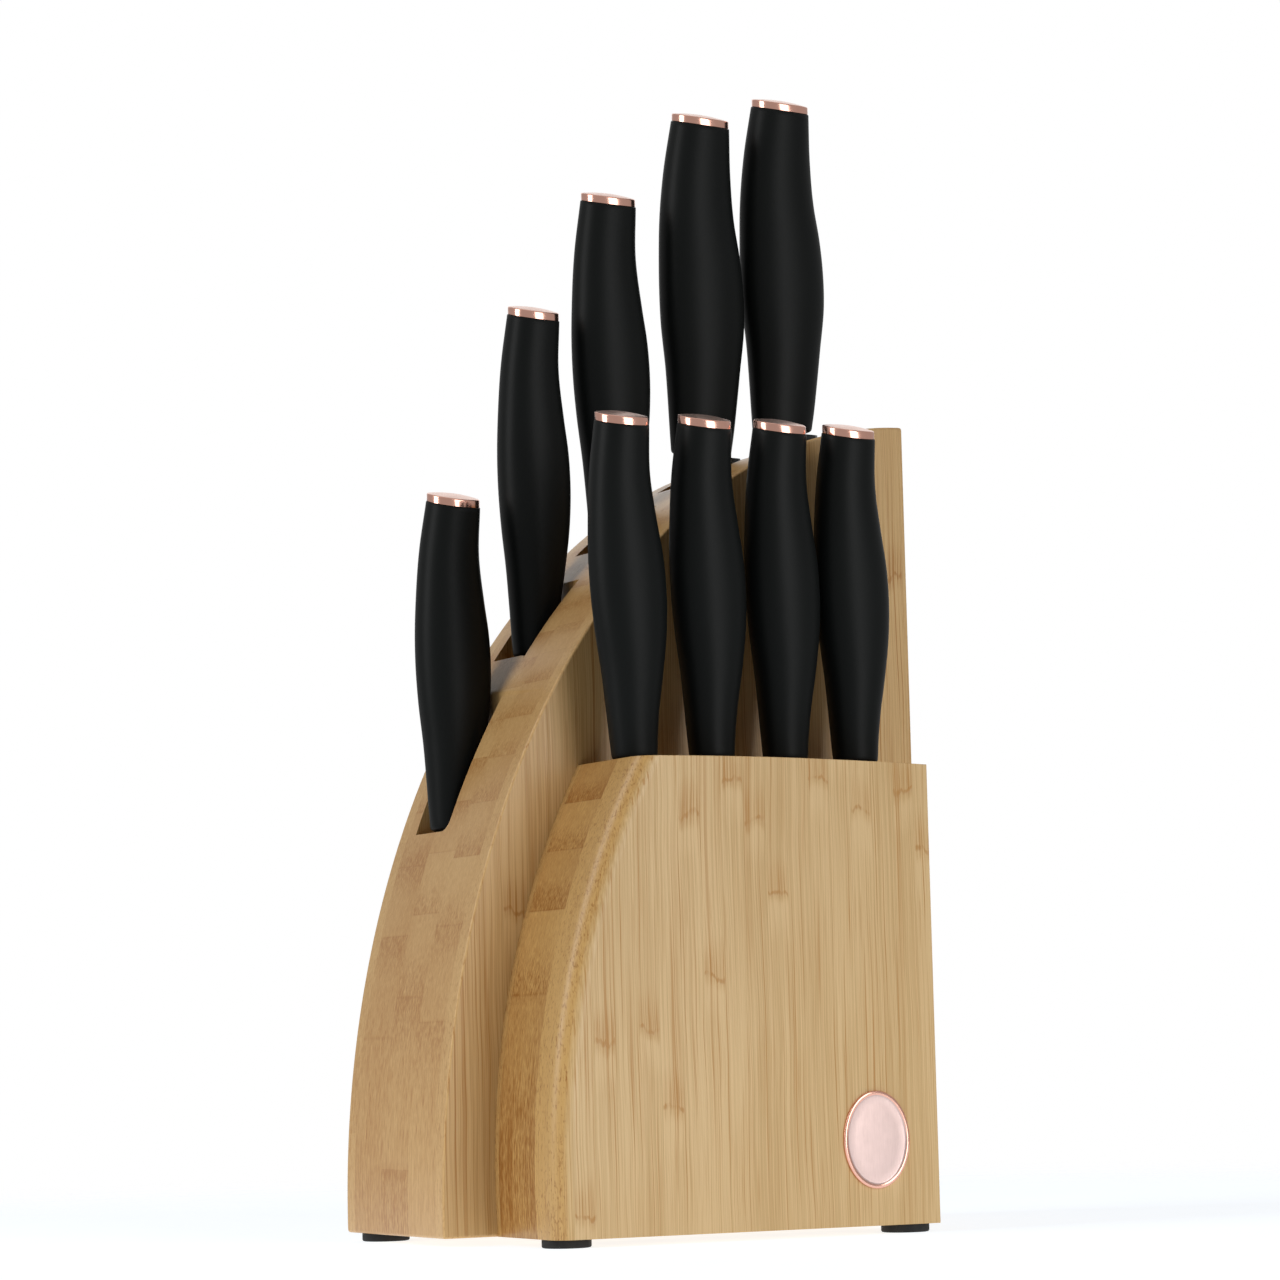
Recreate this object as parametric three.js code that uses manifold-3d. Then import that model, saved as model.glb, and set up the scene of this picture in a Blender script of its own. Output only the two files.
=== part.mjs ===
// Knife block with nine knives, in millimetres, +Z up.
//
// The block is two fan-shaped bamboo slabs glued face to face: a tall back slab whose left and top edge
// is one quarter ellipse, with stepped pockets for five knives, and a lower front slab with slots for
// four steak knives. X runs along the front face to the right, Y from front to back.
// The origin is on the table, under the middle of the block.

import * as THREE from "three";
import { mergeVertices } from "three/addons/utils/BufferGeometryUtils.js";
import Module from "manifold-3d";

const wasm = await Module();
wasm.setup();

// ---- driving dimensions -------------------------------------------------------------------------

const FOOT_HEIGHT = 2.7;
const FOOT_RADIUS = 7.8;
const FOOT_EDGE = 0.8;
const FOOT_FACETS = 28;

// Front-to-back positions of the glued boards' faces.
const Y_FRONT = -60;
const Y_FRONT_PLY = -51;
const Y_FRONT_SLOT = -37;
const Y_FRONT_BACKPLY = -23;
const Y_JOINT = -16;
const Y_NEAR_PLY = -9.5;
const Y_POCKET_NEAR = 23.2;
const Y_BACK_SLOT = 35.6;
const Y_POCKET_FAR = 48;
const Y_FAR_PLY = 54;
const Y_BACK = 61;

// Each slab's curved edge is a quarter ellipse: centre, and half axes along X and Z.
const BACK_ARC = { x: 90.4, z: 9.4, a: 179.2, b: 260.5 };
const BACK_RIGHT = 88.8;
const FRONT_ARC = { x: 106.2, z: 21.3, a: 176.8, b: 226.9 };
const FRONT_RIGHT = 67.3;
const FRONT_CREST = 152.8;
const FRONT_CROWN = { x: 15, z: 153.3 };
const FRONT_END_HEIGHT = 151;
const FRONT_EDGE_ROUND = 7;
const FRONT_EDGE_STEPS = 5;
const ARC_STEPS = 28;

// Handle pockets in the back slab: front edge, rear wall and floor height.
const POCKET_REACH = { left: 40, up: 120 };
const POCKETS = [
  { left: -67.0, right: -45.2, floor: 133.8 },
  { left: -36.9, right: -16.2, floor: 192.8 },
  { left: -6.4, right: 14.0, floor: 229.8 },
  { left: 26.8, right: 57.8, floor: 253.2 },
  { left: 59.3, right: 86.2, floor: 265.6 },
];

const SLOT_WIDTH = 3.4;
const SLOT_CLEARANCE = 1;
const SLOT_BELOW_TIP = 4;
const SLOT_ABOVE_SEAT = 20;

const BLADE_THICKNESS = 2;
const BLADE_GRIND = 0.45;
const BLADE_TIP = { drop: 0.22, width: 0.4, taper: 0.35 };
const BELLY_STEPS = 9;
const EDGE_HALF = 0.15;
const TANG = { half_width: 4.6, length: 62 };
const TANG_GAP = 0.3;
const SEAT_GAP = 0.4;

const CAP_RIM = 2.5;
const CAP_INSET = 0.975;
const CAP_GAP = 0.3;
const CAP_DOME = 1;
const CAP_CHAMFER = 0.5;
const CAP_MIDDLE_RING = 0.5;
const CAP_BOSS = { radius: 2.6, length: 5, above: 1.5, facets: 16 };
const BUTT_SLANT = THREE.MathUtils.degToRad(1.5);
const BUTT_TILT = THREE.MathUtils.degToRad(15.5);

const SECTION_POINTS = 20;
const SECTION_POWER = 2.15;

// Handle outline from blade end (0) to butt (1): spine side, edge side and half thickness.
const SMALL_HANDLE = {
  at: [0, 0.06, 0.15, 0.25, 0.4, 0.5, 0.6, 0.7, 0.85, 1],
  spine: [-7.4, -8.1, -8.9, -9.9, -12.0, -12.9, -13.2, -12.9, -11.7, -9.2],
  edge: [7.4, 7.8, 8.8, 10.6, 12.7, 13.0, 12.3, 10.6, 8.7, 9.2],
  side: [7.0, 7.3, 8.0, 8.8, 9.6, 9.8, 9.7, 9.3, 8.5, 7.7],
};
const LARGE_HANDLE = {
  at: [0, 0.06, 0.15, 0.25, 0.4, 0.5, 0.6, 0.7, 0.85, 1],
  spine: [-10.9, -11.4, -12.0, -12.8, -14.7, -15.2, -15.3, -15.1, -13.5, -10.5],
  edge: [10.9, 12.0, 13.2, 14.4, 16.1, 15.7, 14.3, 12.2, 10.8, 10.5],
  side: [7.6, 7.9, 8.7, 9.5, 10.4, 10.6, 10.5, 10.0, 9.2, 8.3],
};

// Each knife: where its handle's blade end sits, its lean to the right in degrees, its handle's outline,
// length and width factor, and its blade: length below the handle, spine side, heel width and belly start.
const KNIVES = [
  { name: "paring_knife", x: -59.0, z: 133.8, lean: 1.2, y: Y_BACK_SLOT, handle: SMALL_HANDLE,
    length: 110.0, width: 1, blade: { length: 88, spine: -6.2, width: 14.6, belly: 0.45 } },
  { name: "utility_knife", x: -27.3, z: 192.8, lean: 1.0, y: Y_BACK_SLOT, handle: SMALL_HANDLE,
    length: 116.5, width: 0.98, blade: { length: 125, spine: -6.6, width: 14.8, belly: 0.55 } },
  { name: "slicing_knife", x: 3.8, z: 229.8, lean: 0.3, y: Y_BACK_SLOT, handle: SMALL_HANDLE,
    length: 121.2, width: 1.07, blade: { length: 165, spine: -7.6, width: 16, belly: 0.7 } },
  { name: "carving_knife", x: 38.4, z: 265.2, lean: 1.45, y: Y_BACK_SLOT, handle: LARGE_HANDLE,
    length: 116.7, width: 1, blade: { length: 200, spine: -9.6, width: 25.0, belly: 0.4 } },
  { name: "bread_knife", x: 70.9, z: 274.9, lean: 1.35, y: Y_BACK_SLOT, handle: LARGE_HANDLE,
    length: 114.9, width: 1, blade: { length: 200, spine: -10.2, width: 24.4, belly: 0.9 } },
  { name: "steak_knife_1", x: -27.9, z: 152.8, lean: -1.0, y: Y_FRONT_SLOT, handle: SMALL_HANDLE,
    length: 109.2, width: 0.98, blade: { length: 115, spine: -5.6, width: 15, belly: 0.6 } },
  { name: "steak_knife_2", x: 0.3, z: 153.2, lean: 0.15, y: Y_FRONT_SLOT, handle: SMALL_HANDLE,
    length: 109.2, width: 0.98, blade: { length: 115, spine: -6.4, width: 16, belly: 0.6 } },
  { name: "steak_knife_3", x: 27.6, z: 153.0, lean: 0.6, y: Y_FRONT_SLOT, handle: SMALL_HANDLE,
    length: 109.2, width: 0.98, blade: { length: 115, spine: -6.4, width: 16, belly: 0.6 } },
  { name: "steak_knife_4", x: 54.1, z: 152.5, lean: 0.45, y: Y_FRONT_SLOT, handle: SMALL_HANDLE,
    length: 109.2, width: 0.98, blade: { length: 115, spine: -6.4, width: 15.4, belly: 0.6 } },
];

const FEET = {
  foot_front_left: [-62, -49],
  foot_front_right: [59, -51.5],
  foot_back_left: [-80, 49],
  foot_back_right: [79, 49],
};

const BADGE = { x: 44, z: 30.1, half_width: 12.2, half_height: 15.6, proud: 1, border: 1.7, plate: 0.55 };
const BADGE_STEPS = 40;

// ---- materials ----------------------------------------------------------------------------------

const material = (color, roughness, metalness) =>
  new THREE.MeshStandardMaterial({ color, roughness, metalness });

const BAMBOO = material(0xc8aa7c, 0.55, 0);
const BAMBOO_END = material(0xb8935f, 0.6, 0);
const SOFT_BLACK = material(0x1b1e1d, 0.5, 0);
const COATED_STEEL = material(0x2a2c2d, 0.35, 0.7);
const ROSE_GOLD = material(0xdba496, 0.25, 1);
const RUBBER = material(0x141414, 0.8, 0);

// ---- solids -------------------------------------------------------------------------------------

function toManifold(geometry) {
  const bare = geometry.clone();
  bare.deleteAttribute("normal");
  bare.deleteAttribute("uv");
  const merged = mergeVertices(bare, 1e-4);
  return new wasm.Manifold(
    new wasm.Mesh({
      numProp: 3,
      vertProperties: new Float32Array(merged.attributes.position.array),
      triVerts: new Uint32Array(merged.index.array),
    }),
  );
}

function toGeometry(solid) {
  const mesh = solid.getMesh();
  const geometry = new THREE.BufferGeometry();
  geometry.setAttribute("position", new THREE.BufferAttribute(new Float32Array(mesh.vertProperties), 3));
  geometry.setIndex(new THREE.BufferAttribute(new Uint32Array(mesh.triVerts), 1));
  geometry.computeVertexNormals();
  return geometry;
}

function box(x0, x1, y0, y1, z0, z1) {
  const geometry = new THREE.BoxGeometry(x1 - x0, y1 - y0, z1 - z0);
  geometry.translate((x0 + x1) / 2, (y0 + y1) / 2, (z0 + z1) / 2);
  return toManifold(geometry);
}

// Closed solid through rings of points, given from the low end to the high end and counter-clockwise as
// seen from the high end. Fans from the two middle points close the end rings.
function loft(rings, lowMiddle, highMiddle) {
  const count = rings[0].length;
  const positions = rings.flat().concat([lowMiddle, highMiddle]);
  const low = rings.length * count;
  const high = low + 1;
  const index = [];
  for (let r = 0; r + 1 < rings.length; r += 1) {
    for (let i = 0; i < count; i += 1) {
      const j = (i + 1) % count;
      const a = r * count + i;
      const b = r * count + j;
      index.push(a, b, b + count, a, b + count, a + count);
    }
  }
  for (let i = 0; i < count; i += 1) {
    const j = (i + 1) % count;
    const top = (rings.length - 1) * count;
    index.push(low, j, i, high, top + i, top + j);
  }
  const geometry = new THREE.BufferGeometry();
  geometry.setAttribute("position", new THREE.Float32BufferAttribute(positions.flat(), 3));
  geometry.setIndex(index);
  geometry.computeVertexNormals();
  return geometry;
}

// ---- block --------------------------------------------------------------------------------------

// Angle at which an ellipse's left side reaches the height z.
const arcAngle = (arc, z) => Math.PI - Math.asin((z - arc.z) / arc.b);

function backOutline() {
  const shape = new THREE.Shape();
  const { x, z, a, b } = BACK_ARC;
  const rightAngle = Math.acos((BACK_RIGHT - x) / a);
  shape.absellipse(x, z, a, b, arcAngle(BACK_ARC, FOOT_HEIGHT), rightAngle, true);
  shape.lineTo(BACK_RIGHT, FOOT_HEIGHT);
  return shape.getPoints(ARC_STEPS);
}

// The front slab's outline, with its curved edge pulled in by the inset.
function frontOutline(inset = 0) {
  const shape = new THREE.Shape();
  const arc = { ...FRONT_ARC, a: FRONT_ARC.a - inset, b: FRONT_ARC.b - inset };
  shape.absellipse(arc.x, arc.z, arc.a, arc.b, arcAngle(arc, FOOT_HEIGHT), arcAngle(arc, FRONT_CREST), true);
  shape.quadraticCurveTo(FRONT_CROWN.x, FRONT_CROWN.z, FRONT_RIGHT, FRONT_END_HEIGHT);
  shape.lineTo(FRONT_RIGHT, FOOT_HEIGHT);
  return shape.getPoints(ARC_STEPS);
}

// A solid through upright outlines: each slice is a list of outline points and the Y they stand at.
function standing(slices) {
  const rings = slices.map(({ points, y }) => points.map((p) => [p.x, y, p.y]));
  const middle = (ring) => [0, 1, 2].map((k) => ring.reduce((sum, p) => sum + p[k], 0) / ring.length);
  return toManifold(loft(rings, middle(rings[0]), middle(rings[rings.length - 1])));
}

const board = (points, y0, y1) => standing([{ points, y: y0 }, { points, y: y1 }]);

// The front ply, its curved edge rounded towards the front face.
function frontPly() {
  const slices = [];
  for (let i = 0; i <= FRONT_EDGE_STEPS; i += 1) {
    const angle = (Math.PI / 2) * (i / FRONT_EDGE_STEPS);
    const inset = FRONT_EDGE_ROUND * (1 - Math.sin(angle));
    slices.push({ points: frontOutline(inset), y: Y_FRONT + FRONT_EDGE_ROUND * (1 - Math.cos(angle)) });
  }
  slices.push({ points: frontOutline(), y: Y_FRONT_PLY });
  return standing(slices);
}

// The slot that holds one blade: a thin box that leans with the knife.
function bladeSlot(knife) {
  const { length, spine, width } = knife.blade;
  const half = SLOT_WIDTH / 2;
  const slot = box(spine - SLOT_CLEARANCE, spine + width + SLOT_CLEARANCE, -half, half,
    -length - SLOT_BELOW_TIP, SLOT_ABOVE_SEAT);
  return slot.rotate([0, knife.lean, 0]).translate([knife.x, knife.y, knife.z]);
}

// A pocket is open to the left and above, so its cut runs past the slab both ways.
function pocketCut(pocket) {
  return box(pocket.left - POCKET_REACH.left, pocket.right, Y_POCKET_NEAR - 1, Y_POCKET_FAR + 1,
    pocket.floor, pocket.floor + POCKET_REACH.up);
}

const cutPockets = (core) => POCKETS.reduce((cut, pocket) => cut.subtract(pocketCut(pocket)), core);

function cutSlots(core, y) {
  const row = KNIVES.filter((knife) => knife.y === y);
  return row.reduce((cut, knife) => cut.subtract(bladeSlot(knife)), core);
}

function footGeometry() {
  const profile = [
    [0, 0],
    [FOOT_RADIUS - FOOT_EDGE, 0],
    [FOOT_RADIUS, FOOT_EDGE],
    [FOOT_RADIUS, FOOT_HEIGHT],
    [0, FOOT_HEIGHT],
  ].map(([r, z]) => new THREE.Vector2(r, z));
  const geometry = new THREE.LatheGeometry(profile, FOOT_FACETS);
  geometry.rotateX(Math.PI / 2);
  return geometry;
}

// An upright oval plate with a raised border, on the front face.
function badge() {
  const oval = (inset) => {
    const { x, z, half_width: a, half_height: b } = BADGE;
    const curve = new THREE.EllipseCurve(x, z, a - inset, b - inset, 0, 2 * Math.PI, true);
    return curve.getPoints(BADGE_STEPS).slice(1);
  };
  const plate = board(oval(0), Y_FRONT - BADGE.proud, Y_FRONT);
  const recess = board(oval(BADGE.border), Y_FRONT - BADGE.proud - 1, Y_FRONT - BADGE.plate);
  return plate.subtract(recess);
}

// ---- knives: local frame with the handle's blade end at the origin and the butt up -----------------

// Height of the flat butt cut above its middle point: it falls towards the front and a little to the right.
const seamHeight = (x, y) => y * Math.tan(BUTT_TILT) - x * Math.tan(BUTT_SLANT);

function superellipse(i, half, side) {
  const t = (2 * Math.PI * i) / SECTION_POINTS;
  const bend = (v) => Math.sign(v) * Math.abs(v) ** (2 / SECTION_POWER);
  return [half * bend(Math.cos(t)), side * bend(Math.sin(t))];
}

// The butt's own half width and half thickness.
function buttSize(knife) {
  const { spine, edge, side } = knife.handle;
  const last = spine.length - 1;
  return { half: ((edge[last] - spine[last]) / 2) * knife.width, side: side[last] };
}

// The peg under the cap, standing from the given depth below the butt to just inside the cap.
function boss(knife, radius, depth) {
  const height = depth + CAP_BOSS.above;
  const geometry = new THREE.CylinderGeometry(radius, radius, height, CAP_BOSS.facets);
  geometry.rotateX(Math.PI / 2);
  geometry.translate(0, 0, knife.length + CAP_BOSS.above - height / 2);
  return toManifold(geometry);
}

function handleSolid(knife) {
  const { at, spine, edge, side } = knife.handle;
  const last = at.length - 1;
  const rings = at.map((f, k) => {
    const middle = ((spine[k] + edge[k]) / 2) * knife.width;
    const half = ((edge[k] - spine[k]) / 2) * knife.width;
    const ring = [];
    for (let i = 0; i < SECTION_POINTS; i += 1) {
      const [x, y] = superellipse(i, half, side[k]);
      const seam = k === last ? seamHeight(x, y) : 0;
      ring.push([middle + x, y, f * knife.length + seam]);
    }
    return ring;
  });
  const shell = toManifold(loft(rings, [0, 0, 0], [0, 0, knife.length]));
  const hole = TANG.half_width + TANG_GAP;
  const slit = BLADE_THICKNESS / 2 + TANG_GAP;
  const tangHole = box(-hole, hole, -slit, slit, -1, TANG.length + TANG_GAP);
  return shell.subtract(tangHole).subtract(boss(knife, CAP_BOSS.radius + CAP_GAP, CAP_BOSS.length + CAP_GAP));
}

// The cap repeats the handle's butt section a little smaller, so it sits a hair's breadth off the seam.
function capSolid(knife) {
  const { half, side } = buttSize(knife);
  const shoulder = CAP_INSET - CAP_CHAMFER / half;
  const ring = (factor, lift) => {
    const points = [];
    for (let i = 0; i < SECTION_POINTS; i += 1) {
      const [x, y] = superellipse(i, half, side);
      points.push([x * factor, y * factor, knife.length + factor * seamHeight(x, y) + lift]);
    }
    return points;
  };
  const domed = (factor) => CAP_GAP + CAP_RIM + CAP_DOME * (shoulder * shoulder - factor * factor);
  const rings = [
    ring(CAP_INSET, CAP_GAP),
    ring(CAP_INSET, CAP_GAP + CAP_RIM - CAP_CHAMFER),
    ring(shoulder, domed(shoulder)),
    ring(CAP_MIDDLE_RING, domed(CAP_MIDDLE_RING)),
  ];
  const bottom = [0, 0, knife.length + CAP_GAP];
  const top = [0, 0, knife.length + domed(0)];
  const lid = toManifold(loft(rings, bottom, top));
  return lid.add(boss(knife, CAP_BOSS.radius, CAP_BOSS.length));
}

// Blade and tang in one piece. Every ring is a flat hexagon: two points at the spine, two where the
// grind starts and two at the cutting edge.
function bladeSolid(knife) {
  const { length, spine, width, belly } = knife.blade;
  const thick = BLADE_THICKNESS / 2;
  const ring = (left, right, half, sharp, z) => {
    const grind = left + (right - left) * BLADE_GRIND;
    return [
      [left, half, z],
      [left, -half, z],
      [grind, -half, z],
      [right, -sharp, z],
      [right, sharp, z],
      [grind, half, z],
    ];
  };
  const rings = [];
  const tipDrop = width * BLADE_TIP.drop;
  for (let i = 0; i <= BELLY_STEPS; i += 1) {
    const toTip = 1 - i / BELLY_STEPS;
    const z = -length * (belly + (1 - belly) * toTip);
    const right = spine + tipDrop + (width - tipDrop) * Math.sqrt(1 - toTip ** 2);
    const left = spine + (tipDrop - BLADE_TIP.width) * toTip ** 4;
    const taper = BLADE_TIP.taper + (1 - BLADE_TIP.taper) * (1 - toTip ** 3);
    rings.push(ring(left, right, thick * taper, EDGE_HALF, z));
  }
  const tang = TANG.half_width;
  rings.push(ring(spine, spine + width, thick, EDGE_HALF, -SEAT_GAP));
  rings.push(ring(-tang, tang, thick, thick, -SEAT_GAP));
  rings.push(ring(-tang, tang, thick, thick, TANG.length));
  const tip = [spine + tipDrop - BLADE_TIP.width / 2, 0, -length];
  return toManifold(loft(rings, tip, [0, 0, TANG.length]));
}

// ---- assembly -----------------------------------------------------------------------------------

const part = new THREE.Group();

function add(name, geometry, meshMaterial, parent = part) {
  const mesh = new THREE.Mesh(geometry, meshMaterial);
  mesh.name = name;
  parent.add(mesh);
  return mesh;
}

const back = backOutline();
const front = frontOutline();

add("back_slab_far_ply", toGeometry(board(back, Y_FAR_PLY, Y_BACK)), BAMBOO);
add("back_slab_far_board", toGeometry(board(back, Y_POCKET_FAR, Y_FAR_PLY)), BAMBOO_END);
const farCore = cutSlots(cutPockets(board(back, Y_BACK_SLOT, Y_POCKET_FAR)), Y_BACK_SLOT);
add("back_slab_far_core", toGeometry(farCore), BAMBOO_END);
const nearCore = cutSlots(cutPockets(board(back, Y_POCKET_NEAR, Y_BACK_SLOT)), Y_BACK_SLOT);
add("back_slab_near_core", toGeometry(nearCore), BAMBOO_END);
add("back_slab_near_board", toGeometry(board(back, Y_NEAR_PLY, Y_POCKET_NEAR)), BAMBOO_END);
add("back_slab_near_ply", toGeometry(board(back, Y_JOINT, Y_NEAR_PLY)), BAMBOO);

add("front_slab_back_ply", toGeometry(board(front, Y_FRONT_BACKPLY, Y_JOINT)), BAMBOO);
const backCore = cutSlots(board(front, Y_FRONT_SLOT, Y_FRONT_BACKPLY), Y_FRONT_SLOT);
add("front_slab_back_core", toGeometry(backCore), BAMBOO_END);
const frontCore = cutSlots(board(front, Y_FRONT_PLY, Y_FRONT_SLOT), Y_FRONT_SLOT);
add("front_slab_front_core", toGeometry(frontCore), BAMBOO_END);
add("front_slab_front_ply", toGeometry(frontPly()), BAMBOO);

for (const [name, [x, y]] of Object.entries(FEET)) {
  add(name, footGeometry(), RUBBER).position.set(x, y, 0);
}

add("badge_plate", toGeometry(badge()), ROSE_GOLD);

for (const knife of KNIVES) {
  const group = new THREE.Group();
  group.position.set(knife.x, knife.y, knife.z + SEAT_GAP);
  group.rotation.y = THREE.MathUtils.degToRad(knife.lean);
  add(`${knife.name}_blade`, toGeometry(bladeSolid(knife)), COATED_STEEL, group);
  add(`${knife.name}_handle`, toGeometry(handleSolid(knife)), SOFT_BLACK, group);
  add(`${knife.name}_cap`, toGeometry(capSolid(knife)), ROSE_GOLD, group);
  part.add(group);
}

export default part;
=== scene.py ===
"""Bamboo knife block with nine knives: the visible model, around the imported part. Metres, +Z up."""
import math

import bmesh
import bpy
import numpy as np
from mathutils import Matrix, Vector


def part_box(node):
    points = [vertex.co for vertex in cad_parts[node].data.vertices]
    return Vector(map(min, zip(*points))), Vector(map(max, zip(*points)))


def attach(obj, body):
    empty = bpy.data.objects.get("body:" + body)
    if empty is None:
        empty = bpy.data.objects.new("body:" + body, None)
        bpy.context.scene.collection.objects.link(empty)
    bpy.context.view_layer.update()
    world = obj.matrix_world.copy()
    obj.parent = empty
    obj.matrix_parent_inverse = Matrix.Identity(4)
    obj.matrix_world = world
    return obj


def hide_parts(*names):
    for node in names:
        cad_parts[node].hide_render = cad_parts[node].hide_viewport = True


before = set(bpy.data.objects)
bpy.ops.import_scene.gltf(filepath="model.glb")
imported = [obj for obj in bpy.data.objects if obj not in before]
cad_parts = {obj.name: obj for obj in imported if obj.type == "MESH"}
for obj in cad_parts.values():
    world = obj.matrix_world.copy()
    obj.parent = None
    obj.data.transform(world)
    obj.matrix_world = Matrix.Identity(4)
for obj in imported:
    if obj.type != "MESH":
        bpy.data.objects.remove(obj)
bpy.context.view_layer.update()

MM = 0.001

# ---- dimensions of the part, in millimetres ---------------------------------------------------------

FOOT_HEIGHT = 2.7
BACK_ARC = (90.4, 9.4, 179.2, 260.5)
BACK_RIGHT = 88.8
FRONT_ARC = (106.2, 21.3, 176.8, 226.9)
FRONT_RIGHT = 67.3
FRONT_CREST = 152.8
FRONT_CROWN = (15.0, 153.3)
FRONT_END_HEIGHT = 151.0
FRONT_ROUND = 7.0
POCKET_STEPS = [(-45.2, 133.8), (-16.2, 192.8), (14.0, 229.8), (57.8, 253.2), (86.2, 265.6)]
SLOT = {"width": 3.4, "clearance": 1.0, "below": 4.0, "above": 20.0}
BLADE_THICKNESS = 2.0
TANG = {"half_width": 4.6, "depth": 12.0, "gap": 0.3}
SEAT_GAP = 0.4
BUTT_SLOPE = (-math.tan(math.radians(1.5)), math.tan(math.radians(15.5)))
SECTION_POWER = 2.15

PROFILE_AT = [0, 0.06, 0.15, 0.25, 0.4, 0.5, 0.6, 0.7, 0.85, 1]
SMALL = {
    "spine": [-7.4, -8.1, -8.9, -9.9, -12.0, -12.9, -13.2, -12.9, -11.7, -9.2],
    "edge": [7.4, 7.8, 8.8, 10.6, 12.7, 13.0, 12.3, 10.6, 8.7, 9.2],
    "side": [7.0, 7.3, 8.0, 8.8, 9.6, 9.8, 9.7, 9.3, 8.5, 7.7],
}
LARGE = {
    "spine": [-10.9, -11.4, -12.0, -12.8, -14.7, -15.2, -15.3, -15.1, -13.5, -10.5],
    "edge": [10.9, 12.0, 13.2, 14.4, 16.1, 15.7, 14.3, 12.2, 10.8, 10.5],
    "side": [7.6, 7.9, 8.7, 9.5, 10.4, 10.6, 10.5, 10.0, 9.2, 8.3],
}

# name, x, z, lean in degrees, handle profile, handle length, width factor,
# blade length, spine side, heel width, where the belly starts
KNIVES = [
    ("paring_knife", -59.0, 133.8, 1.2, SMALL, 110.0, 1.0, 88, -6.2, 14.6, 0.45),
    ("utility_knife", -27.3, 192.8, 1.0, SMALL, 116.5, 0.98, 125, -6.6, 14.8, 0.55),
    ("slicing_knife", 3.8, 229.8, 0.3, SMALL, 121.2, 1.07, 165, -7.6, 16.0, 0.7),
    ("carving_knife", 38.4, 265.2, 1.45, LARGE, 116.7, 1.0, 200, -9.6, 25.0, 0.4),
    ("bread_knife", 70.9, 274.9, 1.35, LARGE, 114.9, 1.0, 200, -10.2, 24.4, 0.9),
    ("steak_knife_1", -27.9, 152.8, -1.0, SMALL, 109.2, 0.98, 115, -5.6, 15.0, 0.6),
    ("steak_knife_2", 0.3, 153.2, 0.15, SMALL, 109.2, 0.98, 115, -6.4, 16.0, 0.6),
    ("steak_knife_3", 27.6, 153.0, 0.6, SMALL, 109.2, 0.98, 115, -6.4, 16.0, 0.6),
    ("steak_knife_4", 54.1, 152.5, 0.45, SMALL, 109.2, 0.98, 115, -6.4, 15.4, 0.6),
]


def y_range(node):
    """Front and back Y of a CAD node, in millimetres."""
    low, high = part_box(node)
    return low[1] / MM, high[1] / MM


BACK_FAR, BACK_REAR = y_range("back_slab_far_ply")
BACK_NEAR, BACK_NEAR_PLY = y_range("back_slab_near_ply")
POCKET_NEAR, BACK_ROW = y_range("back_slab_near_core")
POCKET_FAR = y_range("back_slab_far_board")[0]
FRONT_FACE = y_range("front_slab_front_ply")[0]
FRONT_ROW = y_range("front_slab_back_core")[0]

# Y of further glue lines, which only the end grain shows.
BACK_SEAMS = (11.0, 32.0)
FRONT_SEAMS = (-45.0, -19.0)

EDGE_ROUND = 1.0
KNUCKLE_SPACING = 0.19


# ---- materials ----------------------------------------------------------------------------------------

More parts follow.
